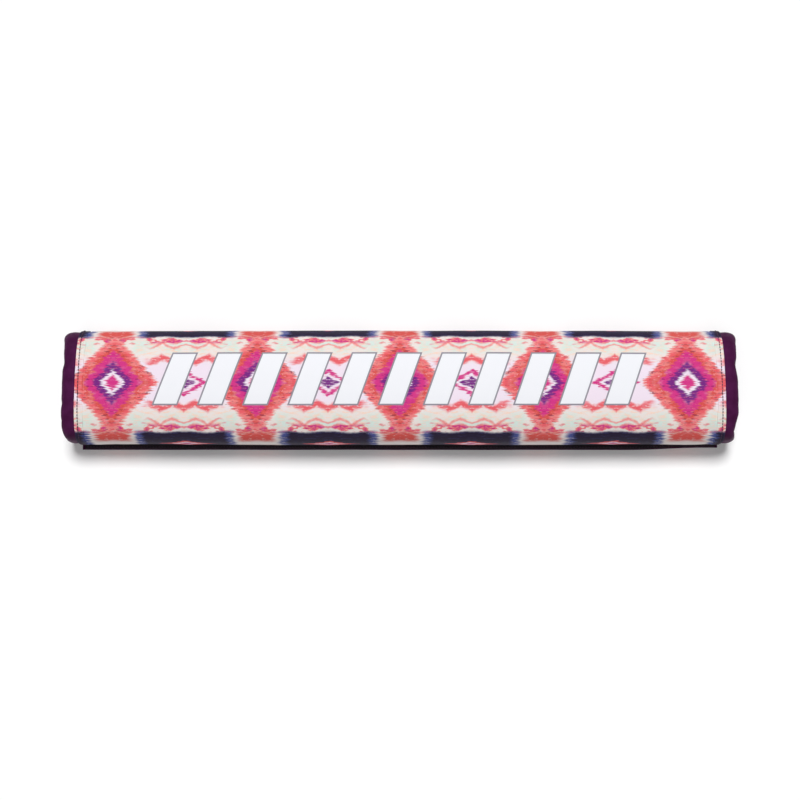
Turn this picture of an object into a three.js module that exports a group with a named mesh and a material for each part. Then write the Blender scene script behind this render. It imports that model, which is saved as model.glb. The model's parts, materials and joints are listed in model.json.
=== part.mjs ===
// Roof rack pad: a foam sleeve for a flat roof bar. A printed cover wraps the foam, a dark
// lining faces the bar, a stuffed gusset closes each end, and a hook-and-loop flap shuts the
// split underside.
// Millimetres. X runs along the pad, -Y is its front, +Z is up, and the origin is on the
// floor, under the middle of the pad.

import * as THREE from "three";
import { toCreasedNormals } from "three/addons/utils/BufferGeometryUtils.js";

// Overall sizes
const padLength = 711; // over the stuffed ends
const bodyWidth = 123; // front to back over the cover, at mid length
const padHeight = 66; // floor to crown, at mid length

// Shape of the section
const crownPower = 2.5; // superellipse power of the upper half
const basePower = 3.5; // superellipse power of the lower half
const settling = 1.8; // how far the pad's own weight flattens its underside
const slimming = 1.4; // how much slimmer the body is at the hems than at mid length
const slimmingPower = 3; // how late along the length the slimming comes

// Tunnel for the roof bar, and the split under it
const tunnelWidth = 84;
const tunnelHeight = 24;
const slitY = 20; // middle of the split, behind the centre line
const slitGap = 1.2; // between the two lined lips

// Sheets and tapes
const coverThickness = 1.0;
const liningThickness = 0.8;
const gussetThickness = 0.8;
const flapThickness = 1.0;
const hookThickness = 1.2;
const loopThickness = 1.2;
const seat = 0.3; // clearance between two pieces that touch

// Hem at each end of the cover
const hemWidth = 9;
const hemPly = 0.6; // how far the folded hem stands up from the cover
const hemStep = 1.5; // length of the step down from the hem

// Stuffed ends
const endPuff = 15; // how far a gusset swells past the cover's hem
const puffPower = 2.8; // 2 is a round profile, more is boxier
const puffSpread = 0.2; // how far the swelling also spreads outward, past the hem
const tuck = 8; // how far a gusset runs in under the cover and behind the lining
const liningSetback = 2; // the lining ends this far inside the cover's hem
const lipTaper = 16; // length over which a gusset narrows towards the split
const lipPuff = 0.35; // share of the swelling that is left at the split

// Flap and tapes
const flapInset = 12.5; // each end of the flap lies this far in from the pad's end
const flapOverhang = 0.5; // how far the free edge shows in front of the body
const seamSetback = 12.5; // from the body's back to the strip that is sewn to its underside
const seamWidth = 13;
const flapRise = 11; // run over which the flap climbs from the floor to its seam
const tapeInset = 3; // each end of a tape lies this far in from the flap's end
const hookMargin = 1; // from the flap's free edge to the hook tape
const hookWidth = 50;
const loopSetback = 11.5; // from the body's front to the loop tape
const loopWidth = 60;

// Print on the cover
const barCount = 11; // leaning bars of the white graphic
const barPitch = 47;
const barLean = 0.35; // run along X for each step back
const barEndFade = 1.5; // over which a bar's white ends
const graphicFrontY = -24; // the bars' front and back ends, on the crown
const graphicBackY = 30;
const lozengePitch = 150;
const lozengeHalfLength = 47;
const lozengeHalfWidth = 56;
const diamondHalfLength = 24; // small diamonds between the lozenges
const diamondHalfWidth = 15;
const rungPitch = 19; // between coral rungs, measured round the section from the crown
const edgeBandFrom = 52; // dark edge bands, measured in the same way
const edgeBandTo = 78;
const edgeBandGap = 32; // half the gap in a band beside each lozenge
const dyeSharpness = 4; // how fast one of a lozenge's colours follows another

// How finely the surfaces are cut
const arcSteps = 10; // round each end of the tunnel
const floorSteps = 4; // across the tunnel's floor, in front of the split
const profileSteps = 8; // over a gusset's swelling, an even number
const foamSpans = 10; // along the foam between its ends
const seamSteps = 4; // across the flap's seam strip
const loopSteps = 12; // across the loop tape
const wallHalvings = 40; // with which the wall's depth is found

const coverHalf = padLength / 2 - endPuff;
const flapLength = padLength - 2 * flapInset;
const tapeLength = flapLength - 2 * tapeInset;
const flapEdgeY = -bodyWidth / 2 - flapOverhang;
const hookTop = flapThickness + seat + hookThickness;
const underside = hookTop + seat + loopThickness + seat;
const coreHeight = (padHeight + underside) / 2;
const lipInset = slitGap / 2 + liningThickness + seat;

const colours = {
  cream: new THREE.Color(0xf1e4ee),
  mint: new THREE.Color(0xdcebe4),
  coral: new THREE.Color(0xeb6477),
  red: new THREE.Color(0xdd5b57),
  magenta: new THREE.Color(0xd73786),
  violet: new THREE.Color(0x7d1e69),
  navy: new THREE.Color(0x2f2039),
  white: new THREE.Color(0xf8fafc),
};

// A lozenge's colours, and how deep in it each begins.
const lozengeDyes = [
  { from: 0, dye: colours.red },
  { from: 0.3, dye: colours.magenta },
  { from: 0.6, dye: colours.violet },
];

const materials = {
  cover: new THREE.MeshStandardMaterial({ vertexColors: true, roughness: 0.85, metalness: 0 }),
  foam: new THREE.MeshStandardMaterial({ color: 0x4a4a4e, roughness: 0.95, metalness: 0 }),
  lining: new THREE.MeshStandardMaterial({ color: 0x46264a, roughness: 0.6, metalness: 0 }),
  tape: new THREE.MeshStandardMaterial({ color: 0x221b22, roughness: 0.9, metalness: 0 }),
};

// Half the body's width and upper height at a place along its length.
function halfSizes(x) {
  const slim = slimming * Math.min(1, Math.abs(x) / coverHalf) ** slimmingPower;
  return {
    width: bodyWidth / 2 - slim,
    above: padHeight - coreHeight - slim,
    below: coreHeight - underside + settling,
  };
}

// Below 1 inside the body's rounded outline, 1 on it, above 1 outside.
function outlineLevel(x, y, z) {
  const half = halfSizes(x);
  const rise = z - coreHeight;
  const power = rise > 0 ? crownPower : basePower;
  const height = rise > 0 ? half.above : half.below;
  return Math.abs(y / half.width) ** power + Math.abs(rise / height) ** power;
}

// Height of the body's underside at a place.
function undersideAt(x, y) {
  const half = halfSizes(x);
  const share = Math.max(0, 1 - Math.abs(y / half.width) ** basePower);
  return Math.max(underside, coreHeight - half.below * share ** (1 / basePower));
}

// A [y, z] point so far out from the body's underside, square to it, at mid length.
function belowBody(y, distance) {
  const nearby = 0.1;
  const slope = (undersideAt(0, y + nearby) - undersideAt(0, y - nearby)) / (2 * nearby);
  const normal = new THREE.Vector2(slope, -1).setLength(distance);
  return [y + normal.x, undersideAt(0, y) + normal.y];
}

// Two rows of [y, z] points for a sheet under the body: its face towards the body, which
// leaves the seat's clearance, and its face away from it.
function sheetUnderBody(fromY, toY, steps, thickness) {
  const place = (_, step) => THREE.MathUtils.lerp(fromY, toY, step / steps);
  const ys = Array.from({ length: steps + 1 }, place);
  return [ys.map((y) => belowBody(y, seat)), ys.map((y) => belowBody(y, seat + thickness))];
}

// Places across the crown that suit the bars of the print: their ends, a row just inside
// each end, and even steps between.
function crownRows() {
  const front = graphicFrontY + barEndFade;
  const back = graphicBackY - barEndFade;
  const towards = (end) => [end / 3, (2 * end) / 3, end];
  return [graphicFrontY, ...towards(front).toReversed(), 0, ...towards(back), graphicBackY];
}

// Points round the tunnel's wall, from the split's front lip over the top to its back lip,
// each with the direction that points straight into the foam.
function tunnelStations() {
  const radius = tunnelHeight / 2;
  const flat = tunnelWidth / 2 - radius;
  const stations = [];
  const addFlat = (ys, side) => {
    for (const y of ys) stations.push({ y, z: coreHeight + side * radius, outY: 0, outZ: side });
  };
  const addArc = (centreY, from, to) => {
    for (let step = 0; step <= arcSteps; step++) {
      const angle = THREE.MathUtils.lerp(from, to, step / arcSteps);
      const outY = Math.cos(angle);
      const outZ = Math.sin(angle);
      stations.push({ y: centreY + radius * outY, z: coreHeight + radius * outZ, outY, outZ });
    }
  };
  const frontLip = slitY - lipInset;
  const backLip = slitY + lipInset;
  for (let step = 0; step < floorSteps; step++)
    addFlat([THREE.MathUtils.lerp(frontLip, -flat, step / floorSteps)], -1);
  addArc(-flat, -Math.PI / 2, (-3 * Math.PI) / 2);
  addFlat(crownRows().filter((y) => Math.abs(y) < flat), 1);
  addArc(flat, Math.PI / 2, -Math.PI / 2);
  addFlat([backLip], -1);
  return stations;
}

const stations = tunnelStations();

// Depth of the wall between the tunnel and the body's outline, along a station's direction.
function wallDepth(x, station) {
  let near = 0;
  let far = bodyWidth;
  for (let halving = 0; halving < wallHalvings; halving++) {
    const middle = (near + far) / 2;
    const y = station.y + station.outY * middle;
    const z = station.z + station.outZ * middle;
    if (outlineLevel(x, y, z) < 1) near = middle;
    else far = middle;
  }
  const toFlatBase = station.outZ < 0 ? (station.z - underside) / -station.outZ : Infinity;
  return Math.min(near, toFlatBase);
}

// A point so far in from the body's outline.
function inFromOutline(x, station, depth) {
  return outFromTunnel(x, station, wallDepth(x, station) - depth);
}

// A point so far out from the tunnel's wall.
function outFromTunnel(x, station, height) {
  const y = station.y + station.outY * height;
  const z = station.z + station.outZ * height;
  return new THREE.Vector3(x, y, z);
}

// Distance round the section from the crown's middle line, less than 0 towards the front.
function measureRim() {
  const points = stations.map((station) => inFromOutline(coverHalf, station, 0));
  const crownAt = stations.findIndex((station) => station.y === 0 && station.outZ > 0);
  const along = [0];
  for (let i = 1; i < points.length; i++)
    along.push(along[i - 1] + points[i].distanceTo(points[i - 1]));
  stations.forEach((station, i) => {
    station.rim = along[i] - along[crownAt];
    station.toLip = Math.min(along[i], along.at(-1) - along[i]);
  });
}

measureRim();

// A closed solid through a list of bands, each a top row and a bottom row of as many points.
function bandSolid(bands) {
  const rowLength = bands[0][0].length;
  const loop = 2 * rowLength;
  const points = bands.flatMap(([top, bottom]) => [...top, ...bottom.toReversed()]);
  const positions = points.flatMap((point) => point.toArray());
  const index = [];
  // Each quad is split along its shorter diagonal, so that two faces that lie against each
  // other are split alike.
  const quad = (a, b, c, d) => {
    const alongAC = points[a].distanceTo(points[c]) <= points[b].distanceTo(points[d]);
    if (alongAC) index.push(a, b, c, a, c, d);
    else index.push(a, b, d, b, c, d);
  };
  for (let band = 0; band + 1 < bands.length; band++)
    for (let i = 0; i < loop; i++) {
      const next = (i + 1) % loop;
      const here = band * loop;
      quad(here + i, here + next, here + loop + next, here + loop + i);
    }
  const last = (bands.length - 1) * loop;
  for (let i = 0; i + 1 < rowLength; i++) {
    quad(i + 1, i, loop - 1 - i, loop - 2 - i);
    quad(last + i, last + i + 1, last + loop - 2 - i, last + loop - 1 - i);
  }
  const geometry = new THREE.BufferGeometry();
  geometry.setAttribute("position", new THREE.Float32BufferAttribute(positions, 3));
  geometry.setIndex(signedVolume(positions, index) < 0 ? index.toReversed() : index);
  return geometry;
}

function signedVolume(positions, index) {
  const corner = (i) => new THREE.Vector3().fromArray(positions, 3 * index[i]);
  let volume = 0;
  for (let i = 0; i < index.length; i += 3)
    volume += corner(i).dot(corner(i + 1).cross(corner(i + 2))) / 6;
  return volume;
}

function piece(name, geometry, material) {
  const creaseAngle = Math.PI / 5;
  const mesh = new THREE.Mesh(toCreasedNormals(geometry, creaseAngle), material);
  mesh.name = name;
  return mesh;
}

// A straight strip along X between two rows of [y, z] points.
function strip(length, top, bottom) {
  const band = (x) => [top, bottom].map((row) => row.map(([y, z]) => new THREE.Vector3(x, y, z)));
  return bandSolid([band(-length / 2), band(length / 2)]);
}

// Places of the cover's rings along X: at each bar and each space of the graphic, then out
// to the hems. Each has how far the cloth stands up there.
function coverRings() {
  const ringPitch = barPitch / 2;
  const graphicHalf = barCount * ringPitch;
  const rings = [{ x: 0, raise: 0 }];
  for (let x = ringPitch; x <= graphicHalf; x += ringPitch) rings.push({ x, raise: 0 });
  const hemStart = coverHalf - hemWidth;
  rings.push({ x: (graphicHalf + hemStart) / 2, raise: 0 });
  rings.push({ x: hemStart - hemStep, raise: 0 });
  rings.push({ x: hemStart, raise: hemPly });
  rings.push({ x: coverHalf, raise: hemPly });
  const mirrored = rings.slice(1).toReversed().map(({ x, raise }) => ({ x: -x, raise }));
  return [...mirrored, ...rings];
}

// The rings lean with the bars across the graphic, and stand square again at the hems.
function leaningX(x, station) {
  const graphicHalf = (barCount * barPitch) / 2;
  const square = coverHalf - hemWidth - hemStep;
  const fade = THREE.MathUtils.clamp((square - Math.abs(x)) / (square - graphicHalf), 0, 1);
  return x + barLean * fade * THREE.MathUtils.clamp(station.y, graphicFrontY, graphicBackY);
}

// The folded hem stands up all round, but is pressed flat underneath.
function hemShare(station) {
  return THREE.MathUtils.smoothstep(station.outZ, -1, 0);
}

function outerCover() {
  const place = (x, station, depth) => inFromOutline(leaningX(x, station), station, depth);
  const bands = coverRings().map(({ x, raise }) => [
    stations.map((station) => place(x, station, -raise * hemShare(station))),
    stations.map((station) => place(x, station, coverThickness)),
  ]);
  const geometry = bandSolid(bands);
  const tints = coverRings().flatMap(({ x }) => {
    const row = stations.map((station) => printColour(x, station));
    return [...row, ...row.toReversed()];
  });
  const colourValues = tints.flatMap((colour) => colour.toArray());
  geometry.setAttribute("color", new THREE.Float32BufferAttribute(colourValues, 3));
  return piece("outer_cover", geometry, materials.cover);
}

// How deep a place lies in a lozenge: 1 at its middle, 0 on its edge.
function depthInLozenge(along, across, halfLength, halfWidth) {
  return 1 - along / halfLength - across / halfWidth;
}

function isOnBar(ringX, station) {
  const ring = Math.round(ringX / (barPitch / 2));
  const betweenEnds = station.y > graphicFrontY && station.y < graphicBackY;
  return Math.abs(ring) < barCount && ring % 2 === 0 && betweenEnds && station.outZ === 1;
}

// Lozenges with a violet heart, small diamonds and coral rungs between them, dark bands along
// both edges, and white bars on the crown.
function printColour(ringX, station) {
  if (isOnBar(ringX, station)) return colours.white.clone();
  const x = leaningX(ringX, station);
  const across = Math.abs(station.rim);
  const along = Math.abs(x - lozengePitch * Math.round(x / lozengePitch));
  if (across > edgeBandFrom && across < edgeBandTo && along > edgeBandGap)
    return colours.navy.clone();
  const fromDiamond = lozengePitch / 2 - along;
  const diamond = depthInLozenge(fromDiamond, across, diamondHalfLength, diamondHalfWidth);
  if (diamond > 0) return colours.magenta.clone().lerp(colours.violet, diamond);
  const colour = colours.cream.clone().lerp(colours.mint, Math.min(1, across / edgeBandFrom));
  const rungs = Math.cos((across * Math.PI) / rungPitch) ** 4;
  colour.lerp(colours.coral, rungs * Math.min(1, along / lozengeHalfLength));
  const lozenge = depthInLozenge(along, across, lozengeHalfLength, lozengeHalfWidth);
  for (const { from, dye } of lozengeDyes)
    colour.lerp(dye, THREE.MathUtils.clamp(dyeSharpness * (lozenge - from), 0, 1));
  return colour;
}

// Share of the full swelling at a station: less at the split, and a dip at each pinch.
function puffShare(station, pinches) {
  const taper = THREE.MathUtils.smoothstep(station.toLip, 0, lipTaper);
  let share = THREE.MathUtils.lerp(lipPuff, 1, taper);
  for (const { rim, dip, reach } of pinches) {
    const away = Math.min(1, Math.abs(station.rim - rim) / reach);
    share -= dip * Math.cos((away * Math.PI) / 2) ** 2;
  }
  return share;
}

// Pinches in the gathered end cloth: where on the rim, what share of the swelling they take
// away, and half their length along the rim.
const pinches = {
  left: [
    { rim: 24, dip: 0.1, reach: 14 },
    { rim: -72, dip: 0.1, reach: 22 },
    { rim: 98, dip: 0.1, reach: 14 },
  ],
  right: [
    { rim: 17, dip: 0.12, reach: 14 },
    { rim: -58, dip: 0.26, reach: 30 },
    { rim: 96, dip: 0.08, reach: 14 },
  ],
};

// Steps over the swelling, as angles from the cover, by 0 at the tip, to the tunnel.
const swellingAngles = Array.from(
  { length: profileSteps + 1 },
  (_, step) => Math.PI * (step / profileSteps - 0.5),
);

// A point on the swelling of one end, set in by so much from the gusset's face.
function onSwelling(end, station, inset, angle) {
  const wall = wallDepth(coverHalf, station);
  const bend = (value) => Math.sign(value) * Math.abs(value) ** (2 / puffPower);
  const tip = bend(Math.max(0, Math.cos(angle)));
  const share = puffShare(station, pinches[end]);
  const outer = coverThickness + seat + inset - puffSpread * share * tip;
  const inner = wall - liningThickness - seat - inset;
  const depth = (outer + inner) / 2 + ((inner - outer) / 2) * bend(Math.sin(angle));
  const x = coverHalf + (endPuff * share - inset) * tip;
  const side = end === "left" ? -1 : 1;
  return inFromOutline(coverHalf, station, depth).setX(side * x);
}

// One face of a gusset at a station, from under the cover, over the swelling, to behind
// the lining.
function gussetRow(end, station, inset) {
  const side = end === "left" ? -1 : 1;
  const tuckX = side * (coverHalf - tuck);
  const row = [inFromOutline(tuckX, station, coverThickness + seat + inset)];
  for (const angle of swellingAngles) row.push(onSwelling(end, station, inset, angle));
  row.push(outFromTunnel(tuckX, station, liningThickness + seat + inset));
  return row;
}

function endGusset(end) {
  const bands = stations.map((station) => [
    gussetRow(end, station, 0),
    gussetRow(end, station, gussetThickness),
  ]);
  return piece(`end_gusset_${end}`, bandSolid(bands), materials.lining);
}

// The foam fills the cover, steps in to make room for each gusset's tuck, and is rounded
// over inside the gusset.
function foamCore() {
  const sheetInset = gussetThickness + seat;
  const ring = (x, inset) => [
    stations.map((station) => inFromOutline(x, station, coverThickness + seat + inset)),
    stations.map((station) => outFromTunnel(x, station, liningThickness + seat + inset)),
  ];
  const swellingRing = (end, angle) => [
    stations.map((station) => onSwelling(end, station, sheetInset, angle)),
    stations.map((station) => onSwelling(end, station, sheetInset, -angle)),
  ];
  const angles = swellingAngles.filter((angle) => angle < 0);
  const stepIn = coverHalf - tuck - seat;
  const shoulder = stepIn - 2 * sheetInset;
  const bands = angles.toReversed().map((angle) => swellingRing("left", angle));
  bands.push(ring(-stepIn, sheetInset));
  for (let span = 0; span <= foamSpans; span++)
    bands.push(ring(THREE.MathUtils.lerp(-shoulder, shoulder, span / foamSpans), 0));
  bands.push(ring(stepIn, sheetInset));
  bands.push(...angles.map((angle) => swellingRing("right", angle)));
  return piece("foam_core", bandSolid(bands), materials.foam);
}

// The lining faces the tunnel and turns down over both lips of the split.
function innerLining() {
  const row = (height) => {
    const lipY = slitGap / 2 + height;
    const floor = coreHeight - tunnelHeight / 2 - height;
    const wall = stations.map((station) => {
      const { y, z } = outFromTunnel(0, station, height);
      return [y, z];
    });
    return [
      [slitY - lipY, underside],
      [slitY - lipY, floor],
      ...wall,
      [slitY + lipY, floor],
      [slitY + lipY, underside],
    ];
  };
  const length = 2 * (coverHalf - liningSetback);
  return piece("inner_lining", strip(length, row(liningThickness), row(0)), materials.lining);
}

// The flap is sewn along the back of the underside, runs over the split and lies on the
// floor as far as its free edge in front of the body.
function closureFlap() {
  const backY = bodyWidth / 2 - seamSetback;
  const seamY = backY - seamWidth;
  const [top, bottom] = sheetUnderBody(backY, seamY, seamSteps, flapThickness);
  for (const y of [seamY - flapRise, 0, flapEdgeY]) {
    top.push([y, flapThickness]);
    bottom.push([y, 0]);
  }
  return piece("closure_flap", strip(flapLength, top, bottom), materials.lining);
}

function hookTape() {
  const frontY = flapEdgeY + hookMargin;
  const ys = [frontY, frontY + hookWidth];
  const top = ys.map((y) => [y, hookTop]);
  const bottom = ys.map((y) => [y, hookTop - hookThickness]);
  return piece("hook_tape", strip(tapeLength, top, bottom), materials.tape);
}

// The loop tape follows the cover's underside up towards the front.
function loopTape() {
  const frontY = loopSetback - bodyWidth / 2;
  const backY = frontY + loopWidth;
  const [top, bottom] = sheetUnderBody(frontY, backY, loopSteps, loopThickness);
  return piece("loop_tape", strip(tapeLength, top, bottom), materials.tape);
}

const pad = new THREE.Group();
pad.name = "roof_rack_pad";
pad.add(outerCover());
pad.add(foamCore());
pad.add(innerLining());
pad.add(endGusset("left"));
pad.add(endGusset("right"));
pad.add(closureFlap());
pad.add(hookTape());
pad.add(loopTape());

export default pad;
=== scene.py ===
# %% [markdown]
# A roof rack pad is a long foam sleeve that slips round a roof bar, so that a board can be
# strapped on top without a scratch. This lesson dresses its packed solids as cloth: a
# printed cover, two stuffed ends, a lining, a flap and its tapes.
#
# The solids stay where they are. Each soft one is replaced by a finer piece in its place,
# and every size below is taken from a solid's box or from the section that they share.

# %% Load the packed solids
import json
import math

import bpy
import numpy as np
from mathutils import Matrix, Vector, noise

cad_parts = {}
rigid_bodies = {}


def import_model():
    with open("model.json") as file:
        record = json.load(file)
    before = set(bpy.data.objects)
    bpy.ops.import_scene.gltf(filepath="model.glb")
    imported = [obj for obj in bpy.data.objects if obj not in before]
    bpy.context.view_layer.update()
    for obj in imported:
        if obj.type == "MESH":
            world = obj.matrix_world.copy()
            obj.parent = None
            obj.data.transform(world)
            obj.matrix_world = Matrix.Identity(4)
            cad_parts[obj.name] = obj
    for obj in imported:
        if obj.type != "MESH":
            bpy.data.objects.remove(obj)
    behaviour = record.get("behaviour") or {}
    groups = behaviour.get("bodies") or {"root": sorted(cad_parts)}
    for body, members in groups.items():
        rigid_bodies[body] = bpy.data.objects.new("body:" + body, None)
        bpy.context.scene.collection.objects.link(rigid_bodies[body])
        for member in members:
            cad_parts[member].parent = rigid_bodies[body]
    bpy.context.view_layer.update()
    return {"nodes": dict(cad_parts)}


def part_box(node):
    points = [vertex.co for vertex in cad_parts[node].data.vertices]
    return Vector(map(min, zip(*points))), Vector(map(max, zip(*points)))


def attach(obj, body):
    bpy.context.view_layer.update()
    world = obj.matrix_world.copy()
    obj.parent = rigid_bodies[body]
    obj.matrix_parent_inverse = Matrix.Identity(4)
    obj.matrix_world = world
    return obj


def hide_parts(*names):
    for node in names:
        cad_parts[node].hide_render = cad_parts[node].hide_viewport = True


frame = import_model()
MM = 0.001
print("solids:", sorted(frame["nodes"]))

# %% [markdown]
# The pad's section is a rounded, flattened loop. It could be drawn by hand as a curve, but a
# superellipse gives the same plump shoulders with one number, and the pad's own weight
# presses its underside flat. The upper half is rounder than the lower half.
#
# The loop is open at the split underneath. It is measured as a distance along the cloth, the
# rim, which is 0 on the crown's middle line, less towards the front and more towards the
# back. Print and weave then follow the cloth as they do on a cut panel.

# %% Sizes of the body
cover_low, cover_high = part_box("outer_cover")
lining_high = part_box("inner_lining")[1]
HALF_COVER = cover_high.x
HALF_WIDTH = cover_high.y
CROWN = cover_high.z
UNDERSIDE = cover_low.z
CORE_HEIGHT = (CROWN + UNDERSIDE) / 2
CROWN_POWER, BASE_POWER = 2.5, 3.5
SETTLING = 1.8 * MM  # how much of the underside its own weight presses flat
SLIMMING, SLIMMING_POWER = 1.4 * MM, 3
SPLIT_Y, LIP_INSET = 20 * MM, 1.7 * MM
COVER_THICK, CLOTH_THICK, SEAT = 1.0 * MM, 0.8 * MM, 0.3 * MM
print("body:", round(HALF_COVER * 2, 4), round(HALF_WIDTH * 2, 4), round(CROWN, 4))

# %% [markdown]
# The loop is drawn as thousands of points, and cut open at the split. A Bezier curve would
# need fewer, but it is harder to measure, and everything below is measured along this loop.

# %% The section at mid length
def section_outline():
    """Points round the body from the split's front lip over the crown to its back lip."""
    turn = np.linspace(0, 2 * math.pi, 8001)
    across, rise = np.sin(turn), -np.cos(turn)
    power = np.where(rise > 0, CROWN_POWER, BASE_POWER)
    y = -HALF_WIDTH * np.sign(across) * np.abs(across) ** (2 / power)
    tall = np.where(rise > 0, CROWN - CORE_HEIGHT, CORE_HEIGHT - UNDERSIDE + SETTLING)
    z = CORE_HEIGHT + tall * np.sign(rise) * np.abs(rise) ** (2 / power)
    z = np.maximum(z, UNDERSIDE)
    past_the_split = (turn > 1.5 * math.pi) & (y < SPLIT_Y + LIP_INSET)
    loop = np.column_stack([y, z])[~past_the_split]
    return np.vstack([(SPLIT_Y - LIP_INSET, UNDERSIDE), loop])


outline = section_outline()
print("points in the section:", len(outline))

# %% [markdown]
# From here on the section is only a line to walk along. Three helpers are enough for that:
# they give the length so far, the same line with even spacing, and the direction that
# points out of it. They also serve the flap and the rows of stitches.

# %% Walk along a line
def along(points):
    """Distance along a line of points, from its first."""
    steps = np.linalg.norm(np.diff(points, axis=0), axis=1)
    return np.concatenate([[0], np.cumsum(steps)])


def resample(points, count):
    """The same line with evenly spaced points."""
    length = along(points)
    places = np.linspace(0, length[-1], count)
    return np.column_stack([np.interp(places, length, column) for column in points.T])


def outward(points):
    """Unit normals of the section's line, away from the tunnel."""
    tangent = np.gradient(points, axis=0)
    normal = np.column_stack([tangent[:, 1], -tangent[:, 0]])
    normal *= np.sign(normal[len(normal) // 2, 1])
    return normal / np.linalg.norm(normal, axis=1)[:, None]


rim_length = along(outline)[-1]
crown_at = along(outline)[np.argmax(outline[:, 1] - 1e-3 * np.abs(outline[:, 0]))]
print("cloth round the section, lip to lip:", round(rim_length, 4))

# %% [markdown]
# Towards its hems the body is a little slimmer, as the stitching draws the cloth in. Every
# layer is placed on this one body, by where it is along the pad, where it is on the section
# and how far it lies from the outline, so that layers never cross.

# %% Place points on the body
def body_points(x, section, normal, offset):
    """Points at x on the section, set outward by offset. x and offset may vary round it."""
    slim = SLIMMING * np.minimum(1, np.abs(x) / HALF_COVER) ** SLIMMING_POWER
    y = section[:, 0] * (1 - slim / HALF_WIDTH)
    rise = section[:, 1] - CORE_HEIGHT
    z = CORE_HEIGHT + rise * np.where(rise > 0, 1 - slim / (CROWN - CORE_HEIGHT), 1)
    return np.column_stack([
        np.broadcast_to(x, y.shape), y + normal[:, 0] * offset, z + normal[:, 1] * offset,
    ])


def smoothstep(value, low, high):
    t = np.clip((value - low) / (high - low), 0, 1)
    return t * t * (3 - 2 * t)


def ripple(a, b, seed, scale):
    """Smooth noise from about -1 to 1 at paired places a and b, in metres."""
    a, b = np.broadcast_arrays(a, b)
    flat = [
        noise.noise(Vector((p / scale, q / scale, seed)))
        for p, q in zip(a.ravel(), b.ravel())
    ]
    return np.array(flat).reshape(a.shape)


print("slimmer at the hems by", round(2 * SLIMMING / MM, 1), "mm from front to back")

# %% [markdown]
# Each piece ends as a mesh in the scene. Its faces have to point out, or it would count as
# hollow, and its volume tells: it is below zero when they point in. Smooth shading hides
# the facets of cloth, and only edges of more than 50 degrees stay sharp.

# %% Put a finished mesh in the scene
SHARP_FROM = math.radians(50)


def finish_mesh(name, mesh):
    """Smooth shading, faces pointing out, and an object in the scene."""
    mesh.update()
    corners = np.empty(3 * len(mesh.vertices))
    mesh.vertices.foreach_get("co", corners)
    corners = corners.reshape(-1, 3)
    mesh.calc_loop_triangles()
    triangles = np.array([t.vertices for t in mesh.loop_triangles])
    a, b, c = (corners[triangles[:, i]] for i in range(3))
    if np.einsum("ij,ij->i", a, np.cross(b, c)).sum() < 0:
        mesh.flip_normals()
    mesh.shade_smooth()
    mesh.set_sharp_from_angle(angle=SHARP_FROM)
    piece = bpy.data.objects.new(name, mesh)
    bpy.context.collection.objects.link(piece)
    print(name, "has", len(triangles), "triangles")
    return piece


print("edges are sharp from", round(math.degrees(SHARP_FROM)), "degrees")

# %% [markdown]
# Cloth is modelled as a closed sheet with two faces. A Solidify modifier would do that too,
# but here the two faces are given point by point, so the inner face can keep clear of the
# foam. Each point also carries its place on the flat cloth in millimetres, for the print
# and the weave.

# %% Make a closed sheet from two faces
def grid_faces(rows, columns):
    at = np.arange(rows * columns).reshape(rows, columns)
    return np.stack([at[:-1, :-1], at[:-1, 1:], at[1:, 1:], at[1:, :-1]], -1).reshape(-1, 4)


def closed_sheet(name, upper, lower, cloth):
    """upper and lower are rows x columns x 3, cloth is rows x columns x 2 in metres."""
    rows, columns = upper.shape[:2]
    count = rows * columns
    points = np.vstack([upper.reshape(-1, 3), lower.reshape(-1, 3)])
    at = np.arange(count).reshape(rows, columns)
    quads = grid_faces(rows, columns)
    rim = np.concatenate([at[0, :-1], at[:-1, -1], at[-1, :0:-1], at[:0:-1, 0]])
    after = np.roll(rim, -1)
    edge = np.column_stack([after, rim, rim + count, after + count])
    faces = np.vstack([quads, quads[:, ::-1] + count, edge])
    mesh = bpy.data.meshes.new(name)
    mesh.from_pydata(points.tolist(), [], faces.tolist())
    place = mesh.attributes.new("cloth_mm", "FLOAT_VECTOR", "POINT")
    flat = np.zeros((2 * count, 3))
    flat[:, :2] = np.tile(cloth.reshape(-1, 2), (2, 1)) / MM
    place.data.foreach_set("vector", flat.ravel())
    return finish_mesh(name, mesh)


print("a square of 9 points makes", 2 * len(grid_faces(3, 3)) + 8, "faces of a sheet")

# %% [markdown]
# Real cloth on foam is never the even curve of a formula. A cloth simulation finds where it
# comes to rest: the face is cut a little larger than its form, a pressure stands in for the
# foam that pushes from inside, and its sewn edges are held. Gravity is left out, because
# the foam carries the cloth's weight.

# %% Make a face that can settle
def loose_face(points, away, sewn):
    """The grid as an object that faces away from the foam, with its sewn points named."""
    faces = grid_faces(*points.shape[:2])
    a, b, c = (points.reshape(-1, 3)[faces[:, i]] for i in range(3))
    if (np.cross(b - a, c - a) * away.reshape(-1, 3)[faces[:, 0]]).sum() < 0:
        faces = faces[:, ::-1]
    mesh = bpy.data.meshes.new("settling")
    mesh.from_pydata(points.reshape(-1, 3).tolist(), [], faces.tolist())
    cloth = bpy.data.objects.new("settling", mesh)
    bpy.context.collection.objects.link(cloth)
    held = cloth.vertex_groups.new(name="sewn")
    held.add(np.flatnonzero(sewn).tolist(), 1.0, "REPLACE")
    return cloth


print("a face's corners are taken in this order:", grid_faces(2, 2)[0])

# %% [markdown]
# The cloth modifier needs few settings here: it is light, hard to stretch and easy to bend.
# Its shrinking is set below zero, which grows the face. After its frames have run, the
# points are read from the evaluated object, and nothing of it stays in the scene.

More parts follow.
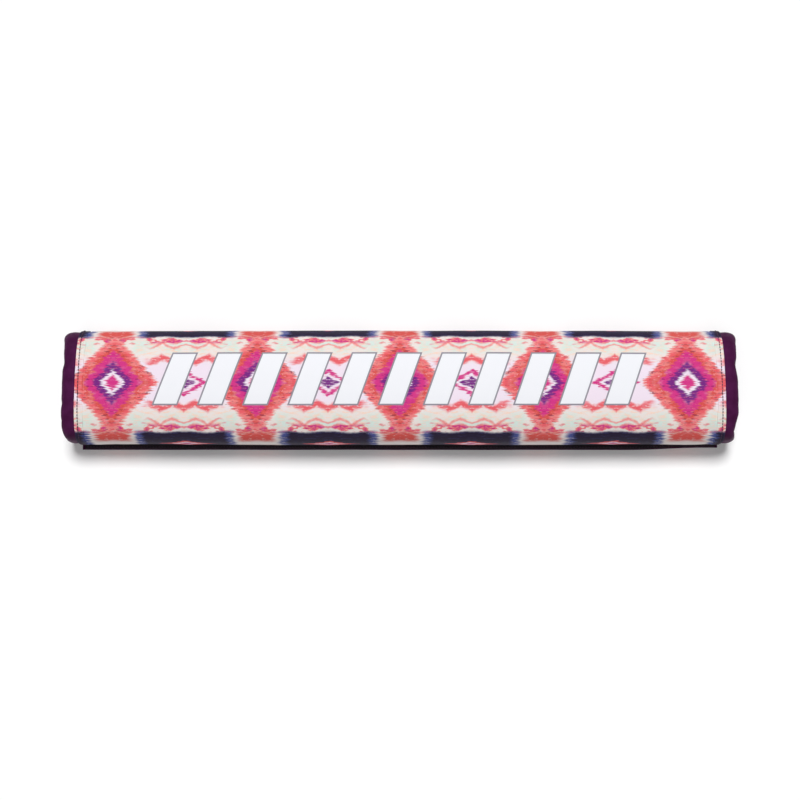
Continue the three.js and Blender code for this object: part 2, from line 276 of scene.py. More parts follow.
# %% Simulate a face of cloth
SETTLE_FRAMES = 24
CLOTH_SETTINGS = {
    "quality": 7, "mass": 0.15, "tension_stiffness": 15, "compression_stiffness": 15,
    "shear_stiffness": 8, "bending_stiffness": 0.4, "air_damping": 3, "use_pressure": True,
}


def simulate(cloth, growth, pressure):
    """The object's points after a cloth simulation without gravity."""
    modifier = cloth.modifiers.new("settle", "CLOTH")
    settings = modifier.settings
    for key, value in CLOTH_SETTINGS.items():
        setattr(settings, key, value)
    settings.vertex_group_mass = "sewn"
    settings.shrink_min = -growth
    settings.uniform_pressure_force = pressure
    settings.effector_weights.gravity = 0
    modifier.collision_settings.use_collision = False
    modifier.point_cache.frame_start, modifier.point_cache.frame_end = 1, SETTLE_FRAMES
    for moment in range(1, SETTLE_FRAMES + 1):
        bpy.context.scene.frame_set(moment)
    shown = cloth.evaluated_get(bpy.context.evaluated_depsgraph_get())
    settled = np.empty(3 * len(cloth.data.vertices))
    shown.data.vertices.foreach_get("co", settled)
    bpy.data.objects.remove(cloth)
    bpy.context.scene.frame_set(1)
    return settled


print("a face settles for", SETTLE_FRAMES, "frames")

# %% [markdown]
# Only every second point is simulated, and the moves are spread over the rest: that is four
# times quicker, and it softens the small kinks that a coarse cloth makes. A point may go out
# further than in, because the foam is right behind it.

# %% Keep and spread the moves
def spread(moves, shape):
    """Moves of every second point of a grid, for all its points, softened once."""
    for axis in (0, 1):
        coarse, fine = np.arange(0, shape[axis], 2), np.arange(shape[axis])
        moves = np.apply_along_axis(lambda line: np.interp(fine, coarse, line), axis, moves)
        softened = (np.roll(moves, 1, axis) + 2 * moves + np.roll(moves, -1, axis)) / 4
        inner = [slice(None)] * 3
        inner[axis] = slice(1, -1)
        moves[tuple(inner)] = softened[tuple(inner)]
    return moves


def settle(name, upper, lower, sewn, growth, pressure, inward, outward_reach):
    """The upper face of a sheet after it has settled over its lower face."""
    away = upper - lower
    away /= np.linalg.norm(away, axis=2)[:, :, None]
    second = (slice(None, None, 2), slice(None, None, 2))
    face = loose_face(upper[second], away[second], sewn[second])
    moves = simulate(face, growth, pressure).reshape(upper[second].shape) - upper[second]
    size = np.linalg.norm(moves, axis=2)[:, :, None]
    moves *= np.minimum(1, outward_reach / np.maximum(size, 1e-9))
    out = (moves * away[second]).sum(2)[:, :, None]
    moves += away[second] * (np.maximum(out, -inward) - out)
    print(name, "settled by up to", round(float(size.max()) / MM, 2), "mm, kept to",
          round(float(np.linalg.norm(moves, axis=2).max()) / MM, 2))
    return upper + spread(moves, upper.shape)


print("settling is left out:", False)

# %% [markdown]
# The cover is one printed panel. Where it ends, the maker folds it under and stitches it
# down, so the last 9 mm stand up by one ply and a groove runs along the stitches. Short
# tension ripples start at that groove and die out along the pad. The fold could be a strip
# of its own, but a step in the one sheet leaves no gap to hide.

# %% Shape the hem
HEM_WIDTH, HEM_PLY = 9 * MM, 0.6 * MM
EDGE_DROP, SOFTENING = 0.4 * MM, 0.9 * MM
STITCH_IN, STITCH_SINK, GROOVE_WIDTH, PULL_LENGTH = 3.5 * MM, 0.3 * MM, 0.9 * MM, 3.1 * MM
PUCKER_HEIGHT, PUCKER_SIZE, PUCKER_REACH = 0.25 * MM, 5 * MM, 16 * MM
WAVE_HEIGHT, WAVE_SIZE = 0.35 * MM, 60 * MM


def hem_offset(from_edge, rim):
    """How far the cover stands up, by distance from its hem's edge."""
    ply = HEM_PLY * (1 - smoothstep(from_edge, HEM_WIDTH - HEM_PLY, HEM_WIDTH + SOFTENING))
    edge = -EDGE_DROP * (1 - smoothstep(from_edge, 0, SOFTENING))
    groove = np.exp(-((from_edge - STITCH_IN) / GROOVE_WIDTH) ** 2)
    pull = 1 + 0.5 * np.sin(rim / PULL_LENGTH * 2 * math.pi)
    puckers = PUCKER_HEIGHT * ripple(rim, from_edge * 0.2, 3.7, PUCKER_SIZE)
    fading = np.exp(-from_edge / PUCKER_REACH)
    return ply + edge - STITCH_SINK * groove * pull + puckers * fading


print("hem:", HEM_WIDTH, "m wide, stitched", STITCH_IN, "m in")

# %% [markdown]
# The panel could be one even grid, but the hem has details of a millimetre and the long
# middle has none. So its points lie closer together at the hems.

# %% Model the printed cover
HEM_COLUMNS, MIDDLE_COLUMNS, COVER_ROWS = 22, 173, 151
COVER_IN = 0.2 * MM  # room for the waves, so that the cloth stays on the solid's size


def cover_columns():
    half = HALF_COVER - np.linspace(0, HEM_WIDTH + 3 * MM, HEM_COLUMNS)
    middle = np.linspace(-half[-1], half[-1], MIDDLE_COLUMNS)[1:-1]
    return np.concatenate([-half, middle, half[::-1]])


def printed_cover():
    section = resample(outline, COVER_ROWS)
    normal = outward(section)
    rim = along(section) - crown_at
    flat_below = smoothstep(normal[:, 1], -1, -0.3)  # no waves where the pad lies
    upper, lower, cloth = [], [], []
    for x in cover_columns():
        hem = hem_offset(HALF_COVER - abs(x) + 0 * rim, rim)
        wave = WAVE_HEIGHT * ripple(x, rim, 9.1, WAVE_SIZE)
        upper.append(body_points(x, section, normal, (hem + wave - COVER_IN) * flat_below))
        lower.append(body_points(x, section, normal, 0 * rim - COVER_THICK))
        cloth.append(np.column_stack([x + 0 * rim, rim]))
    upper, lower, cloth = map(np.array, (upper, lower, cloth))
    at_hem = np.abs(upper[:, :, 0]) > HALF_COVER - HEM_WIDTH
    sewn = at_hem | (lower[:, :, 2] < UNDERSIDE + 2 * COVER_THICK)
    settled = settle("cover", upper, lower, sewn, growth=0.012, pressure=1.5,
                     inward=0.4 * MM, outward_reach=1.5 * MM)
    return closed_sheet("printed_cover", settled, lower, cloth)


cover = printed_cover()

# %% [markdown]
# Each end is a ring of cloth that reaches from the cover's hem to the tunnel. The tunnel's
# wall is a slot with round ends, and each point of the body's outline has a partner on that
# slot. The ring's profile is stretched between the two, so it has to be drawn only once.

# %% Partner points on the tunnel
BAR_HALF_WIDTH, BAR_HALF_HEIGHT = 42 * MM, 12 * MM
SLOT_FLAT = BAR_HALF_WIDTH - BAR_HALF_HEIGHT


def partner_points(section):
    """The nearest point of the tunnel's slot for each point of the section."""
    centre_y = np.clip(section[:, 0], -SLOT_FLAT, SLOT_FLAT)
    away = section - np.column_stack([centre_y, 0 * centre_y + CORE_HEIGHT])
    away /= np.linalg.norm(away, axis=1)[:, None]
    slot = np.column_stack([centre_y, 0 * centre_y + CORE_HEIGHT]) + BAR_HALF_HEIGHT * away
    return slot, away


print("tunnel:", 2 * BAR_HALF_WIDTH, "by", 2 * BAR_HALF_HEIGHT)

# %% [markdown]
# The ring is stuffed by the foam behind it. Its profile is half a superellipse that swells
# out from under the hem and turns in to the tunnel. Real ones are pinched where the strip
# was eased round the shoulders, so the swelling dips there, and it narrows at the split. At
# the back it is fuller instead, since the cloth has slack there.

# %% How far the ends swell
END_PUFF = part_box("end_gusset_right")[1].x - HALF_COVER
START_PUFF = END_PUFF - 1.0 * MM  # its folds and the settling add the rest
PUFF_POWER, PUFF_SPREAD, TUCK = 2.8, 0.2 * MM, 8 * MM
LIP_TAPER, LIP_PUFF = 16 * MM, 0.35
WRINKLE_HEIGHT, WRINKLE_SIZE = 0.8 * MM, 9 * MM
END_ROWS, RING_CLOTH = 261, 45 * MM
LIP_LEAD = 3 * MM  # the ring swells this much sooner than the foam, which is cut coarser
PINCHES = {  # where on the rim in mm, the share of the swelling taken away, half its length
    "left": [(24, 0.05, 14), (-72, 0.1, 22), (72, -0.18, 34), (98, 0.1, 14)],
    "right": [(17, 0.08, 14), (-58, 0.26, 30), (72, -0.18, 34), (96, 0.08, 14)],
}


def puff_share(end, rim):
    to_lip = np.minimum(rim - rim[0], rim[-1] - rim)
    share = LIP_PUFF + (1 - LIP_PUFF) * smoothstep(to_lip, -LIP_LEAD, LIP_TAPER - LIP_LEAD)
    for place, dip, reach in PINCHES[end]:
        away = np.minimum(1, np.abs(rim / MM - place) / reach)
        share = share - dip * np.cos(away * math.pi / 2) ** 2
    return share


print("the ends swell by up to", round(START_PUFF / MM, 1), "mm before they settle")

# %% [markdown]
# A row of points follows the rim at each step of the profile, from under the hem, over the
# tip and back in behind the lining. Small folds run across the strip. They are noise that
# only adds to the swelling, so that the foam never shows through.

# %% Shape one face of the ring
PROFILE_STEPS = 27


def ring_face(side, rim, slim, share, inset):
    """One face of the ring. The inset is 0 outside, and the cloth's thickness inside."""
    slot, away = partner_points(slim)
    hem = COVER_THICK + SEAT + inset
    inner = np.linalg.norm(slim - slot, axis=1) - CLOTH_THICK - SEAT - inset
    rows = [(hem, HALF_COVER - TUCK), (hem, HALF_COVER - TUCK / 2)]
    for angle in np.linspace(-math.pi / 2, math.pi / 2, PROFILE_STEPS):
        bend = math.copysign(abs(math.sin(angle)) ** (2 / PUFF_POWER), angle)
        tip = max(0, math.cos(angle)) ** (2 / PUFF_POWER)
        outer = hem - PUFF_SPREAD * share * tip
        depth = (outer + inner) / 2 + (inner - outer) / 2 * bend
        crease = ripple(rim + angle * 3 * MM, angle * 2 * MM, side * 4.3, WRINKLE_SIZE)
        wrinkle = WRINKLE_HEIGHT * tip * (0.6 + 0.35 * crease)
        rows.append((depth, HALF_COVER + (START_PUFF * share - inset) * tip + wrinkle))
    rows += [(inner, HALF_COVER - TUCK / 2), (inner, HALF_COVER - TUCK)]
    return np.array([
        np.column_stack([side * (x + 0 * rim), *(slim - away * (depth + 0 * rim)[:, None]).T])
        for depth, x in rows
    ])


print("rows in a ring:", PROFILE_STEPS + 4)

# %% [markdown]
# Two such faces, a cloth's thickness apart, make the end. The outer one settles as the
# cover's does, and is held where it runs in under the hem and behind the lining. The foam
# is close behind it, so it may move only half as far.

# %% Model the stuffed ends
def stuffed_end(end):
    side = -1 if end == "left" else 1
    section = resample(outline, END_ROWS)
    rim = along(section) - crown_at
    slim = body_points(HALF_COVER, section, outward(section), 0)[:, 1:]
    share = puff_share(end, rim)
    upper, lower = (ring_face(side, rim, slim, share, inset) for inset in (0, CLOTH_THICK))
    sewn = np.abs(upper[:, :, 0]) < HALF_COVER + 1 * MM
    sewn[:, :2] = sewn[:, -2:] = True
    settled = settle(f"{end} end", upper, lower, sewn, growth=0.05, pressure=3.0,
                     inward=0.3 * MM, outward_reach=0.7 * MM)
    steps = np.linspace(0, RING_CLOTH, len(upper))
    cloth = np.stack(np.meshgrid(steps, rim, indexing="ij"), -1)
    return closed_sheet(f"stuffed_end_{end}", settled, lower, cloth)


left_end, right_end = stuffed_end("left"), stuffed_end("right")

# %% [markdown]
# The lining is the same smooth cloth. It runs round the tunnel and turns down over both
# lips of the split, where it meets the cover. A tube with a slot cut through it would have
# ragged edges, so its section is walked from lip to lip and repeated along the pad.

# %% The lining's section
SPLIT_GAP = 1.2 * MM


def lining_row(height):
    """The lining's face so far out from the tunnel, from lip to lip."""
    lip = SPLIT_GAP / 2 + height
    floor = CORE_HEIGHT - BAR_HALF_HEIGHT - height
    radius = BAR_HALF_HEIGHT + height
    points = [(SPLIT_Y - lip, UNDERSIDE), (SPLIT_Y - lip, floor)]
    for centre, start, stop in ((-SLOT_FLAT, -0.5, -1.5), (SLOT_FLAT, 0.5, -0.5)):
        for turn in np.linspace(start * math.pi, stop * math.pi, 30):
            y = centre + radius * math.cos(turn)
            points.append((y, CORE_HEIGHT + radius * math.sin(turn)))
    points += [(SPLIT_Y + lip, floor), (SPLIT_Y + lip, UNDERSIDE)]
    return np.array(points)


print("the lining's section has", len(lining_row(0)), "points")

# %% [markdown]
# Any strip that runs along the pad is made alike: one section line for each face, repeated
# at even places. An Array modifier would repeat it too, but it couldn't let a strip's edge
# sway, as the flap's does further on.

# %% Model the lining
def strip_along(name, top, bottom, half_length, columns, sway=lambda x, y: 0 * y):
    """A strip of cloth along the pad between two section lines of as many points."""
    places = np.linspace(-half_length, half_length, columns)
    width = along(top)
    faces = [np.array([
        np.column_stack([x + 0 * width, line[:, 0] + sway(x, line[:, 0]), line[:, 1]])
        for x in places
    ]) for line in (top, bottom)]
    cloth = np.stack(np.meshgrid(places, width, indexing="ij"), -1)
    return closed_sheet(name, *faces, cloth)


inner, outer = (resample(lining_row(height), 150) for height in (0, CLOTH_THICK))
lining = strip_along("tunnel_lining", inner, outer, lining_high.x, 120)

# %% [markdown]
# Under the body lies the closure flap. It is sewn behind the split, lies over it, and its
# free edge sticks out a little in front, with black hook tape on its upper face. The body
# carries a strip of soft loop tape for the hooks to grip.
#
# All of them are long strips, as the lining is, so a line across the pad and a length are
# enough for each. The free edge isn't dead straight: it has slipped back at the right, and
# wanders a little.

# %% Lines under the body
EDGE_SLIP, SLIP_FROM, SLIP_TO = 2.3 * MM, 0.25, 0.33
EDGE_WANDER, WANDER_SIZE = 0.3 * MM, 70 * MM
flap_low, flap_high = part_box("closure_flap")
hook_low, hook_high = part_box("hook_tape")
loop_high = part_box("loop_tape")[1]
FLAP_THICK = 1.0 * MM
TAPE_THICK = hook_high.z - hook_low.z
SEAM_BACK = HALF_WIDTH - 12.5 * MM
SEAM_FRONT, FLAP_BEND = SEAM_BACK - 13 * MM, SEAM_BACK - 24 * MM
LOOP_FRONT, LOOP_BACK = 11.5 * MM - HALF_WIDTH, 71.5 * MM - HALF_WIDTH


def below_body(y, distance):
    """Points under the body at mid length, set out from its underside by a distance."""
    share = np.maximum(0, 1 - np.abs(y / HALF_WIDTH) ** BASE_POWER) ** (1 / BASE_POWER)
    tall = CORE_HEIGHT - UNDERSIDE + SETTLING
    line = np.column_stack([y, np.maximum(UNDERSIDE, CORE_HEIGHT - tall * share)])
    normal = outward(line)
    return line - normal * np.sign(normal[:, 1])[:, None] * distance


def edge_sway(x, y):
    """How far back the free edge has slipped: most at the right, and nothing under the body."""
    wander = EDGE_WANDER * ripple(x, 0 * y, 5.5, WANDER_SIZE)
    slipped = EDGE_SLIP * smoothstep(x, SLIP_FROM, SLIP_TO) + wander
    return slipped * smoothstep(-y, HALF_WIDTH - 22 * MM, HALF_WIDTH - 4 * MM)


print("tape:", round(TAPE_THICK / MM, 2), "mm thick, flap:", FLAP_THICK / MM)

# %% [markdown]
# The flap's line runs along its seam on the body, drops to the floor and goes on to the
# free edge. The hook tape lies on it, and the loop tape follows the body's underside up
# towards the front. Solids of the same sizes stand behind all three.

# %% Model the flap and its tapes
def flap_line(height):
    seam = below_body(np.linspace(SEAM_BACK, SEAM_FRONT, 12), SEAT + FLAP_THICK - height)
    floor_y = np.linspace(FLAP_BEND, flap_low.y, 40)
    floor = np.column_stack([floor_y, 0 * floor_y + height])
    return resample(np.vstack([seam, floor]), 70)


def tape(name, top, half_length):
    return strip_along(name, top, top - np.array([0, TAPE_THICK]), half_length, 200, edge_sway)


flap = strip_along("flap_cloth", flap_line(FLAP_THICK), flap_line(0), flap_high.x, 160, edge_sway)
hook_y = np.linspace(hook_low.y, hook_high.y, 26)
hook_top = np.column_stack([hook_y, 0 * hook_y + hook_high.z])
hooks = tape("hook_strip", hook_top, hook_high.x)
loops = tape("loop_strip", below_body(np.linspace(LOOP_FRONT, LOOP_BACK, 40), SEAT), loop_high.x)

# %% [markdown]
# Stitches are what make cloth look sewn. A bumped line would do from afar, but a thread
# casts its own small shadow, so each stitch here is a short bowed capsule that dives into
# the cloth at both ends.

# %% Shape one stitch
THREAD_RADIUS = 0.5 * MM
STITCH_PITCH, STITCH_LENGTH = 3.2 * MM, 2.8 * MM
THREAD_BOW = np.array([-0.9, 0.35, 0.6, 0.35, -0.9]) * THREAD_RADIUS
THREAD_THICK = np.array([0.5, 0.95, 1.0, 0.95, 0.5]) * THREAD_RADIUS
SIDES, RINGS = 6, len(THREAD_BOW)


def stitch_points(middle, across, up):
    """Rings of points round a stitch's middle line."""
    points = []
    for ring in range(RINGS):
        for side in range(SIDES):
            angle = 2 * math.pi * side / SIDES
            spoke = math.cos(angle) * across[ring] + math.sin(angle) * up[ring]
            lifted = middle[ring] + up[ring] * THREAD_BOW[ring]
            points.append(lifted + spoke * THREAD_THICK[ring])
    return points


def stitch_faces(start):
    """Faces between the rings and over both tips, with the points numbered from start."""
    faces, last = [], start + (RINGS - 1) * SIDES
    for first in range(start, last, SIDES):
        for side in range(SIDES):
            here, beside = first + side, first + (side + 1) % SIDES
            faces.append((here, beside, beside + SIDES, here + SIDES))
    return faces + [tuple(range(start, start + SIDES))[::-1], tuple(range(last, last + SIDES))]


print("a stitch has", RINGS * SIDES, "points and", len(stitch_faces(0)), "faces")

# %% [markdown]
# A row walks along a line on the cloth and sets a stitch at each step. Its stitches could
# be objects that share one mesh, but they have to bend with the cloth. So each row is one
# mesh, and one piece.

# %% Sew a row of stitches
def stitch_row(name, line, normals):
    """Stitches along a line of surface points with their normals."""
    length = along(line)
    points, faces = [], []
    for i in range(int(length[-1] / STITCH_PITCH)):
        places = (i + 0.5) * STITCH_PITCH + np.linspace(-0.5, 0.5, RINGS) * STITCH_LENGTH
        middle = np.column_stack([np.interp(places, length, c) for c in line.T])
        up = np.column_stack([np.interp(places, length, c) for c in normals.T])
        across = np.cross(np.gradient(middle, axis=0), up)
        across /= np.linalg.norm(across, axis=1)[:, None]
        faces += stitch_faces(len(points))
        points += stitch_points(middle, across, up)
    mesh = bpy.data.meshes.new(name)
    mesh.from_pydata([tuple(p) for p in points], [], faces)
    return finish_mesh(name, mesh)


print("stitches for each 10 cm:", round(0.1 / STITCH_PITCH))

# %% [markdown]
# A row runs round each hem. Two rows hold the hook tape to the flap, and come out on the
# flap's underside, and one more holds the flap to the body. Thick dark thread is used,
# because the hem's row can be seen from a step away.

# %% Sew the hems and the flap
TAPE_EDGE, ROW_SHARE = 1.6 * MM, 0.995
UNDER_SINK = 0.5 * MM  # the flap lies on its underside, so the rows there stand out little


def hem_stitches(end):
    side = -1 if end == "left" else 1
    section = resample(outline, 600)
    normal = outward(section)
    x = side * (HALF_COVER - STITCH_IN)
    line = body_points(x, section, normal, HEM_PLY - STITCH_SINK)
    return stitch_row(f"hem_stitches_{end}", line, np.column_stack([0 * normal[:, 0], normal]))


def flap_stitches(name, y, z, up):
    """A row along the pad over one point of its section. Up is the way out of the cloth."""
    x = np.linspace(-hook_high.x, hook_high.x, 200) * ROW_SHARE
    sway = [edge_sway(place, np.array([y]))[0] for place in x]
    line = np.column_stack([x, y + np.array(sway), 0 * x + z])
    return stitch_row(name, line, np.tile([0.0, *up], (len(x), 1)))


tape_front, tape_back = hook_low.y + TAPE_EDGE, hook_high.y - TAPE_EDGE
seam_line = below_body(np.linspace(SEAM_BACK - 4 * MM, SEAM_BACK - 2 * MM, 3), SEAT + FLAP_THICK)
seam_up = -outward(seam_line)[1]  # the way out of the cloth, which is down here
rows = [
    hem_stitches("left"),
    hem_stitches("right"),
    flap_stitches("tape_stitches", tape_front, hook_high.z, (0, 1)),
    flap_stitches("tape_stitches_below", tape_front, UNDER_SINK, (0, -1)),
    flap_stitches("tape_stitches_back", tape_back, UNDER_SINK, (0, -1)),
    flap_stitches("seam_stitches", *seam_line[1], seam_up),
]
print("seam row:", seam_line[1], "facing", seam_up)

# %% [markdown]
# Every material below is a small graph of nodes, and most graphs repeat the same few steps.
# A short helper for each keeps a recipe as readable as a list of layers. The first ones add
# a node, join it up, and set the shader's own sockets.

# %% Helpers: nodes and sockets
class Nodes:
    """The nodes of one material."""

    def __init__(self, name):
        self.material = bpy.data.materials.new(name)
        self.material.use_nodes = True
        self.tree = self.material.node_tree
        self.shader = self.tree.nodes["Principled BSDF"]

    def add(self, kind, inputs=(), **settings):
        node = self.tree.nodes.new(kind)
        for key, value in settings.items():
            setattr(node, key, value)
        for key, value in dict(inputs).items():
            self.feed(node.inputs[key], value)
        return node

    def feed(self, socket, value):
        if isinstance(value, bpy.types.NodeSocket):
            self.tree.links.new(value, socket)
        else:
            socket.default_value = value

    def calc(self, operation, a, b=0.0, c=0.0):
        node = self.add("ShaderNodeMath", {0: a, 1: b, 2: c}, operation=operation)
        return node.outputs[0]

    def set(self, **values):
        """Feed the shader's own sockets."""
        for key, value in values.items():
            self.feed(self.shader.inputs[key.replace("_", " ")], value)

    def done(self):
        print(self.material.name, "has", len(self.tree.nodes), "nodes")
        return self.material


print("a node takes a number, a colour or another node's output")

# %% [markdown]
# Next come masks, which are 1 where something shows and 0 elsewhere, and paint, which lays
# a colour over another one where a mask is.

# %% Helpers: masks and paint
class Masks(Nodes):
    """Steps that say where something shows."""

    def rise(self, value, low, high):
        """0 below low, 1 above high, and smooth between."""
        inputs = {"Value": value, "From Min": low, "From Max": high}
        node = self.add("ShaderNodeMapRange", inputs, interpolation_type="SMOOTHSTEP")
        return node.outputs["Result"]

    def band(self, value, low, high, soft):
        enters = self.rise(value, low - soft, low + soft)
        leaves = self.rise(value, high - soft, high + soft)
        return self.calc("SUBTRACT", enters, leaves)

    def times(self, *masks):
        """The product of masks and numbers: it shows only where all of them do."""
        found = masks[0]
        for mask in masks[1:]:
            found = self.calc("MULTIPLY", found, mask)
        return found

    def paint(self, base, colour, mask):
        node = self.add("ShaderNodeMix", data_type="RGBA")
        self.feed(node.inputs[0], mask)
        self.feed(node.inputs[6], base)
        self.feed(node.inputs[7], colour)
        return node.outputs[2]


print("masks are made by:", [name for name in vars(Masks) if not name.startswith("_")])

# %% [markdown]
# Last come the parts of cloth. Its place is read from the flat millimetres that each point
# carries, so threads keep their size and direction round every bend.

# %% Helpers: threads and grain
class Recipe(Masks):
    """A material as a list of steps."""

    def grain(self, vector, scale, detail=2.0, roughness=0.5):
        """Noise at a scale. Two or three scales stretch it along x, y and z."""
        if isinstance(scale, tuple):
            stretch = {0: vector, 1: (*scale, 1)[:3]}
            vector = self.add("ShaderNodeVectorMath", stretch, operation="MULTIPLY").outputs[0]
            scale = 1.0
        inputs = {"Vector": vector, "Scale": scale, "Detail": detail, "Roughness": roughness}
        return self.add("ShaderNodeTexNoise", inputs).outputs["Fac"]

    def flat_cloth(self):
        """The point's place on the flat cloth in millimetres: its vector, and its two parts."""
        place = self.add("ShaderNodeAttribute", attribute_name="cloth_mm").outputs["Vector"]
        parts = self.add("ShaderNodeSeparateXYZ", {0: place})
        return place, parts.outputs["X"], parts.outputs["Y"]

    def weave(self, u, v, pitch):
        """Crossing threads: 0 in the gaps and 1 on the crowns."""
        warp = self.calc("SINE", self.calc("MULTIPLY", u, 2 * math.pi / pitch))
        weft = self.calc("SINE", self.calc("MULTIPLY", v, 2 * math.pi / pitch))
        return self.calc("MULTIPLY_ADD", self.calc("MULTIPLY", warp, weft), 0.5, 0.5)

    def bump(self, height, strength, distance):
        inputs = {"Height": height, "Strength": strength, "Distance": distance}
        self.set(Normal=self.add("ShaderNodeBump", inputs).outputs[0])


print("cloth is made by:", [name for name in vars(Recipe) if not name.startswith("_")])

# %% [markdown]
# The print is a handful of inks on a pale ground. An image would be the short way, but it
# blurs from close by. So it is mixed from nodes: each ink is named once, as it shows on
# screen, and the pattern's sizes are millimetres of cloth. A shader reckons in linear
# light, in which the same grey is a much smaller number.

# %% Inks and sizes of the print
def tint(red, green, blue):
    """A colour given as it shows on screen, 0 to 255, for a shader's linear socket."""
    def linear(value):
        share = value / 255
        return share / 12.92 if share <= 0.04045 else ((share + 0.055) / 1.055) ** 2.4
    return (linear(red), linear(green), linear(blue), 1.0)


print("a grey of 128 on screen is", round(tint(128, 128, 128)[0], 3), "in a shader")
CREAM, MINT, LILAC = tint(238, 228, 224), tint(214, 232, 222), tint(243, 228, 242)
SALMON, CORAL, RED = tint(240, 150, 146), tint(235, 96, 104), tint(221, 84, 78)
MAGENTA, VIOLET, PLUM = tint(214, 52, 134), tint(118, 36, 130), tint(84, 22, 62)
NAVY, INDIGO, PEACH = tint(33, 20, 50), tint(74, 84, 148), tint(248, 212, 190)
LOZENGE_PITCH, LOZENGE_LENGTH, LOZENGE_WIDTH = 150.0, 47.0, 56.0
BAND_FROM, TURN_BACK, BAND_GAP = 54.0, 78.0, 29.0
FEATHER = 22.0
MIRROR_RIM = -1.5  # the panel was cut so that the pattern's middle lies off the crown's
print("the pattern repeats every", LOZENGE_PITCH, "mm and turns back at", TURN_BACK, "mm")

# %% [markdown]
# The print is a soft ikat, in which dyed threads shift before they are woven, so colours
# feather along the pad. Shifting the coordinate with noise that is fine across the threads
# and coarse along them gives that feathering to every motif at once.
#
# The pattern mirrors itself at every motif and on both sides, as cut yardage does. So the
# place is folded first, and the noises that cloud and wear the dyes are read where it is
# folded to, which mirrors them too.

# %% Fold a place into the pattern
class PrintPlace:
    """Where a point lies in the print, and the noises that wear the dyes there."""

    def __init__(self, recipe, place, x, rim):
        self.recipe, calc = recipe, recipe.calc
        along_pad = calc("PINGPONG", x, LOZENGE_PITCH / 2)
        from_mirror = calc("ABSOLUTE", calc("SUBTRACT", rim, MIRROR_RIM))
        across = calc("PINGPONG", from_mirror, TURN_BACK)
        folded = recipe.add("ShaderNodeCombineXYZ", {0: along_pad, 1: across}).outputs[0]
        threads = recipe.grain(place, (0.02, 0.55), 4.0, 0.65)
        shift = calc("MULTIPLY_ADD", threads, FEATHER, -FEATHER / 2)
        self.x = x
        self.cell = calc("PINGPONG", calc("ADD", x, shift), LOZENGE_PITCH / 2)
        self.beside = calc("SUBTRACT", LOZENGE_PITCH / 2, self.cell)
        self.cloud = recipe.grain(folded, (0.05, 0.07), 3.0, 0.6)
        self.across = calc("ADD", across, calc("MULTIPLY_ADD", self.cloud, 10.0, -5.0))
        self.from_turn = calc("SUBTRACT", TURN_BACK, self.across)
        self.strokes = recipe.grain(folded, (0.09, 0.4), 4.0, 0.7)
        self.patches = recipe.grain(folded, (0.06, 0.16), 3.0, 0.6)
        self.holes = recipe.grain(folded, (0.12, 0.5), 5.0, 0.7)
        missed = recipe.times(recipe.rise(self.holes, 0.54, 0.66), 0.75)
        self.took = calc("SUBTRACT", 1.0, missed)

    def dye(self, colour, ink, mask):
        """The ink over the colour where the mask is, worn where the dye didn't take."""
        return self.recipe.paint(colour, ink, self.recipe.times(mask, self.took))

    def rings(self, colour, depth, inks, soft):
        """One ink inside the other, each from its own depth on."""
        for level, ink in inks:
            reached = self.recipe.rise(depth, level - soft, level + soft)
            colour = self.dye(colour, ink, reached)
        return colour


print("the feathering shifts a motif by up to", FEATHER / 2, "mm")

# %% [markdown]
# The ground is nearly white: lilac on the crown, cream and mint towards the sides, with a
# blush of peach, and torn patches of coral and magenta by the navy bands. Between the
# lozenges lie two zigzag rungs, and under each lozenge a red foot. A zigzag is a band across
# the pad whose middle is pushed up and down by a folded x.

# %% Dye the ground and its rungs
PANEL_FROM, PANEL_TO = 32.0, 42.0


def ground(recipe, spot):
    calc, band, rise, times = recipe.calc, recipe.band, recipe.rise, recipe.times
    across, panel = spot.across, rise(spot.cell, PANEL_FROM, PANEL_TO)
    zigzag = calc("MULTIPLY_ADD", calc("PINGPONG", spot.x, 12.5), 0.45, across)
    colour = recipe.paint(CREAM, LILAC, rise(across, 34.0, 16.0))
    minty = times(band(across, 34.0, 50.0, 5.0), rise(spot.cloud, 0.4, 0.6))
    colour = recipe.paint(colour, MINT, minty)
    blush = times(band(across, 24.0, 50.0, 5.0), rise(spot.strokes, 0.5, 0.62))
    colour = recipe.paint(colour, PEACH, times(blush, 0.8))
    colour = spot.dye(colour, CORAL, times(band(zigzag, 24.0, 31.0, 1.8), panel))
    colour = spot.dye(colour, SALMON, times(band(zigzag, 42.5, 45.0, 1.2), panel))
    edge = band(across, BAND_FROM - 10, BAND_FROM, 2.5)
    torn = times(edge, rise(spot.patches, 0.46, 0.53))
    colour = spot.dye(colour, CORAL, times(torn, 0.9))
    colour = spot.dye(colour, MAGENTA, times(edge, rise(spot.patches, 0.54, 0.61)))
    foot = times(band(across, BAND_FROM - 2, TURN_BACK - 10, 4.0), rise(spot.cell, 22.0, 14.0))
    return spot.dye(colour, RED, foot)


print("the zigzags fill", LOZENGE_PITCH - PANEL_FROM - PANEL_TO, "mm between two lozenges")

# %% [markdown]
# A lozenge is where the shares of the way to its tip and to its side add up to less than
# one. That sum is also a depth, so each inner ring is one more ink at a deeper level. Dark
# and pale strokes over the rings give the look of threads that took the dye unevenly.

# %% Dye the lozenges and the small diamonds
DIAMOND_LENGTH, DIAMOND_WIDTH = 24.0, 15.0
LOZENGE_INKS = [
    (0.0, SALMON), (0.05, CORAL), (0.2, RED), (0.34, MAGENTA), (0.56, VIOLET), (0.74, LILAC),
    (0.85, MAGENTA),
]
DIAMOND_INKS = [(0.0, MAGENTA), (0.3, LILAC), (0.55, VIOLET)]


